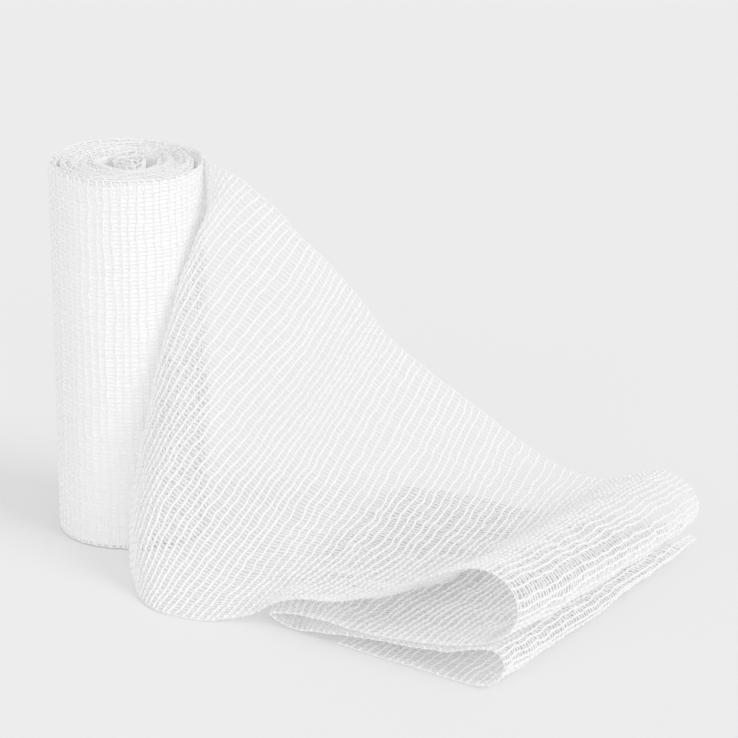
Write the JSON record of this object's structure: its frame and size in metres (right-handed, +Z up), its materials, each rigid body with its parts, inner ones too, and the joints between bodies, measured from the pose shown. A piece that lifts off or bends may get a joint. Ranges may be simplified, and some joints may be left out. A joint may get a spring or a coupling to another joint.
{
  "type": "gauze bandage roll",
  "caption": "Open-weave cotton gauze bandage wound into a roll that stands on its end, with its loose end drawn off and folded in a zigzag on the surface.",
  "frame": {"origin": "the middle of the roll's flat bottom end, on the surface it stands on", "axes": "+Z is up, along the roll's axis; +X is to the right in the picture, the way the loose end is drawn off; +Y is away from the viewer"},
  "size_m": [0.1678, 0.1322, 0.1],
  "materials": {
    "wound_gauze": "matte white cotton gauze, many turns deep",
    "loose_gauze": "matte white open-weave cotton gauze, one layer"
  },
  "bodies": {
    "root": {"roll": "wound_gauze", "loose_end": "loose_gauze"}
  },
  "joints": []
}
